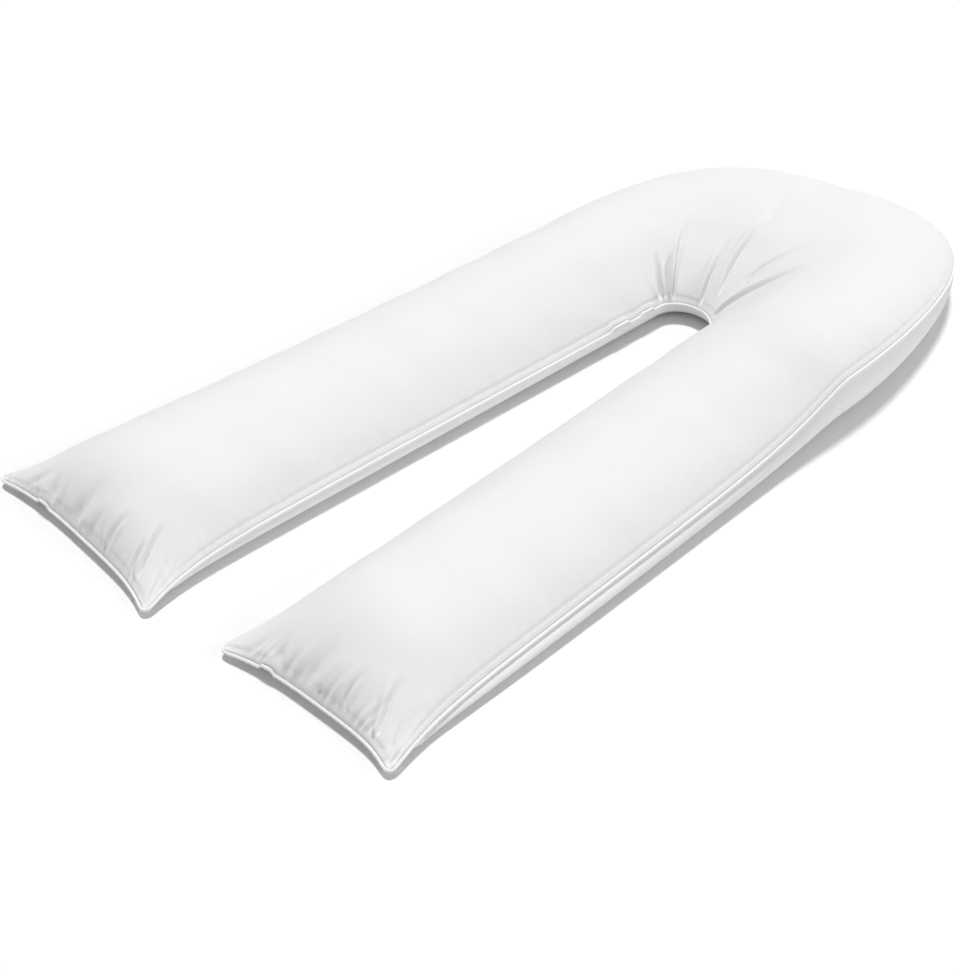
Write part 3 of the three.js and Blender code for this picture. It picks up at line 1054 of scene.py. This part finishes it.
@dataclass
class EdgePiping:
    """The narrow cloth-covered cord round the whole seam."""

    form: PillowForm
    relief: Relief
    shift: Array
    finish: ClothFinish
    radius: float = 0.0023
    gap: float = 0.0002
    samples: tuple[int, int, int] = (230, 250, 120)
    pitch: float = 0.0030
    soften_passes: int = 3
    sides: int = 10
    gather: float = 0.00018
    gather_pitch: float = 0.008
    gather_wander: float = 1.5
    gather_wander_pitch: float = 0.11

    def path(self) -> Array:
        """The seam line at even distances, once round, with its corners softened."""
        line = soften(resample(self.form.seam_line(*self.samples), self.pitch), self.soften_passes)
        line[:, 2] += self.relief.parting(line)
        return line + self.shift

    def build(self) -> bpy.types.Object:
        """Sweeps the cord along the seam, just outside it, and dresses it.

        Its radius ripples by a sine whose phase wanders, as gathered cloth does.

        Returns:
            The piece.
        """
        line = self.path()
        outward = level_outward(line)
        travel = ring_steps(line)
        wave = 2 * np.pi * travel[:-1]
        wander = self.gather_wander * np.sin(wave / self.gather_wander_pitch)
        radius = self.radius + self.gather * np.sin(wave / self.gather_pitch + wander)
        middle = line + outward * (self.radius + self.gap)
        rings = circles(outward, np.array([[0.0, 0.0, 1.0]]), self.sides)
        rings = middle[:, None] + radius[:, None, None] * rings
        index = np.arange(len(line) * self.sides).reshape(-1, self.sides)
        index = np.pad(index, ((0, 1), (0, 1)), mode="wrap")
        girth = 2 * np.pi * self.radius / self.sides * np.arange(self.sides + 1)
        cloth = np.dstack(np.meshgrid(travel, girth, indexing="ij"))
        faces, uv = (cells(grid)[:, (0, 3, 2, 1)] for grid in (index, cloth))
        piece = mesh_object("edge_piping", rings.reshape(-1, 3), [faces], [uv])
        piece.data.materials.append(self.finish.material())
        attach(piece, BODY)
        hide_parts("seam_piping")
        return piece


@dataclass
class EdgeStitches:
    """The row of stitches just inside the piping, along the upper panel's edge.

    They lie rows_in rows and columns_in columns of the body's grid in from the edge, and slant by
    the sine of slant_turn times their number. Rings are shares of the length and of the radius.
    """

    body: PillowBody
    finish: ClothFinish
    rows_in: int = 3
    columns_in: int = 2
    pitch: float = 0.0050
    length: float = 0.0036
    radius: float = 0.0006
    slant: float = 0.12
    slant_turn: float = 2.4
    rings: tuple[Pair, ...] = ((-0.5, 0.35), (-0.36, 1.0), (0.36, 1.0), (0.5, 0.35))
    sides: int = 5

    def build(self) -> bpy.types.Object:
        """Lays the stitches on the body's upper face, and dresses them.

        A ring is radius * (cos(angle) * aside + sin(angle) * normal) about its stitch's axis. Both
        end rings are narrow and closed by a face.

        Returns:
            The piece.
        """
        rows = np.dstack([self.body.upper, grid_normals(self.body.upper)])
        row = resample(border(rows, self.rows_in, self.columns_in), self.pitch)
        centre, normal = row[:, :3], row[:, 3:]
        normal /= np.linalg.norm(normal, axis=1, keepdims=True)
        ahead = np.roll(centre, -1, axis=0) - np.roll(centre, 1, axis=0)
        ahead /= np.linalg.norm(ahead, axis=1, keepdims=True)
        aside = np.cross(normal, ahead)
        slant = self.slant * np.sin(np.arange(len(ahead)) * self.slant_turn)
        ahead = ahead + slant[:, None] * aside

        share, thick = np.array(self.rings).T
        ring = circles(aside, normal, self.sides)
        axis = centre[:, None] + share[:, None] * self.length * ahead[:, None]
        points = axis[:, :, None] + self.radius * thick[:, None, None] * ring[:, None]

        index = np.arange(points[..., 0].size).reshape(points.shape[:3])
        turned = np.roll(index, -1, axis=2)
        corners = (index[:, :-1], turned[:, :-1], turned[:, 1:], index[:, 1:])
        sides = np.stack([corner.ravel() for corner in corners], axis=1)
        faces = [sides, np.concatenate([index[:, 0, ::-1], index[:, -1]])]
        square = np.array([[0, 0], [0, 1], [1, 1], [1, 0]])
        disc = circles(*np.eye(2)[:, None], self.sides)[0]
        uv = [np.tile(shape * self.radius, (len(group), 1, 1)) for shape, group in zip((square, disc), faces)]
        piece = mesh_object("edge_stitches", points.reshape(-1, 3), faces, uv)
        piece.data.materials.append(self.finish.material())
        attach(piece, BODY)
        return piece


@dataclass(frozen=True)
class Lamp:
    """A far lamp, seen from the pillow at an azimuth, 0 being on -Y, an elevation and a size."""

    name: str
    energy: float
    azimuth: float
    elevation: float
    size: float


@dataclass(frozen=True)
class Studio:
    """A white floor under even light, and the camera."""

    shift: Array
    target: tuple[float, float, float] = (0.0855, 0.3932, 0.05)
    azimuth: float = 46.355
    elevation: float = 40.196
    distance: float = 2.3586
    lens: float = 63.35
    sensor: float = 36.0
    furthest: float = 100.0
    floor_half: float = 20.0
    floor_drop: float = 0.0004
    floor_color: tuple[float, float, float] = (0.92, 0.92, 0.92)
    floor_roughness: float = 0.9
    floor_gloss: float = 0.1
    sky: float = 0.31
    backdrop: float = 1.0
    lamps: tuple[Lamp, ...] = (
        Lamp("high_lamp", 2.3, 226.0, 75.0, 11.0),
        Lamp("side_lamp", 0.62, 118.0, 28.0, 16.0),
    )

    @staticmethod
    def away(azimuth: float, elevation: float) -> Vector:
        """The unit vector towards a place seen at that azimuth, 0 being on -Y, and elevation."""
        a, e = math.radians(azimuth), math.radians(elevation)
        return Vector((math.sin(a) * math.cos(e), -math.cos(a) * math.cos(e), math.sin(e)))

    @staticmethod
    def aim(made: bpy.types.Object, away: Vector) -> None:
        """Turns a camera or lamp so that it looks back along a vector, its top up."""
        made.rotation_mode = "QUATERNION"
        made.rotation_quaternion = (-away).to_track_quat("-Z", "Y")

    def camera(self) -> None:
        """Sets the camera at the photograph's angle and distance."""
        lens = bpy.data.cameras.new("camera")
        lens.lens, lens.sensor_width, lens.clip_end = self.lens, self.sensor, self.furthest
        made = add_object("camera", lens)
        away = self.away(self.azimuth, self.elevation)
        made.location = Vector(self.target + self.shift) + away * self.distance
        self.aim(made, away)
        bpy.context.scene.camera = made

    def floor(self) -> None:
        """Lays the floor just under the pillow's flat underside."""
        corners = np.array([[-1.0, -1.0, 0.0], [1.0, -1.0, 0.0], [1.0, 1.0, 0.0], [-1.0, 1.0, 0.0]])
        points = self.floor_half * corners - (0.0, 0.0, self.floor_drop)
        made = mesh_object("floor", points, [np.array([[0, 1, 2, 3]])], [points[None, :, :2]])
        paint = bpy.data.materials.new("floor_white")
        paint.use_nodes = True
        shader = paint.node_tree.nodes["Principled BSDF"]
        set_sockets(shader, {"Base Color": (*self.floor_color, 1.0), "Roughness": self.floor_roughness})
        set_sockets(shader, {"Specular IOR Level": self.floor_gloss})
        made.data.materials.append(paint)

    def light(self) -> None:
        """Sets an even white sky, a lamp high behind the pillow and a lower one beside it.

        The sky lights the pillow at its own strength, and is seen behind it as plain white.
        """
        world = bpy.data.worlds.new("studio")
        world.use_nodes = True
        nodes, links = world.node_tree.nodes, world.node_tree.links
        sky, backdrop = nodes["Background"], nodes.new("ShaderNodeBackground")
        for shown, strength in ((sky, self.sky), (backdrop, self.backdrop)):
            set_sockets(shown, {"Color": (1.0, 1.0, 1.0, 1.0), "Strength": strength})
        choice = nodes.new("ShaderNodeMixShader")
        links.new(nodes.new("ShaderNodeLightPath").outputs["Is Camera Ray"], choice.inputs[0])
        links.new(sky.outputs[0], choice.inputs[1])
        links.new(backdrop.outputs[0], choice.inputs[2])
        links.new(choice.outputs[0], nodes["World Output"].inputs["Surface"])
        bpy.context.scene.world = world
        for lamp in self.lamps:
            light = bpy.data.lights.new(lamp.name, "SUN")
            light.energy, light.angle = lamp.energy, math.radians(lamp.size)
            self.aim(add_object(lamp.name, light), self.away(lamp.azimuth, lamp.elevation))

    def build(self) -> None:
        """Makes the camera, the floor and the light, with plain colour handling."""
        bpy.context.scene.view_settings.view_transform = "Standard"
        self.camera()
        self.floor()
        self.light()


def plan_shift(form: PillowForm) -> Array:
    """The move that sets the seam, in the plan's coordinates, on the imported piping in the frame."""
    line = form.seam_line(*SEAM_SAMPLES)[:, :2]
    low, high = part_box("seam_piping")
    middle = (np.array(low[:2]) + np.array(high[:2])) / 2
    return np.append(middle - (line.min(0) + line.max(0)) / 2, 0.0)


def report(piece: bpy.types.Object) -> None:
    """Logs a piece's size and face count."""
    sides = ", ".join(f"{1000 * side:.0f}" for side in piece.dimensions)
    LOG.info("%s: %s mm, %d faces", piece.name, sides, len(piece.data.polygons))


def main() -> None:
    """Builds the studio and the pillow's pieces."""
    logging.basicConfig(level=logging.INFO, format="%(message)s")
    form = PillowForm()
    shift = plan_shift(form)
    cloth = ClothFinish("pillow_cloth", (0.875, 0.875, 0.873), (0.85, 0.851, 0.853))
    covering = ClothFinish("piping_cloth", (0.92, 0.92, 0.918), (0.90, 0.90, 0.90), crumple=0.0002)
    thread = ClothFinish("stitch_thread", (0.94, 0.94, 0.938), (0.92, 0.92, 0.92), crumple=0.0001)
    relief = Relief()
    Studio(shift).build()
    body = PillowBody(form, relief, Filling(), shift, cloth)
    report(body.build())
    report(EdgePiping(form, relief, shift, covering).build())
    report(EdgeStitches(body, thread).build())
    bpy.context.view_layer.update()


if __name__ == "__main__":
    main()
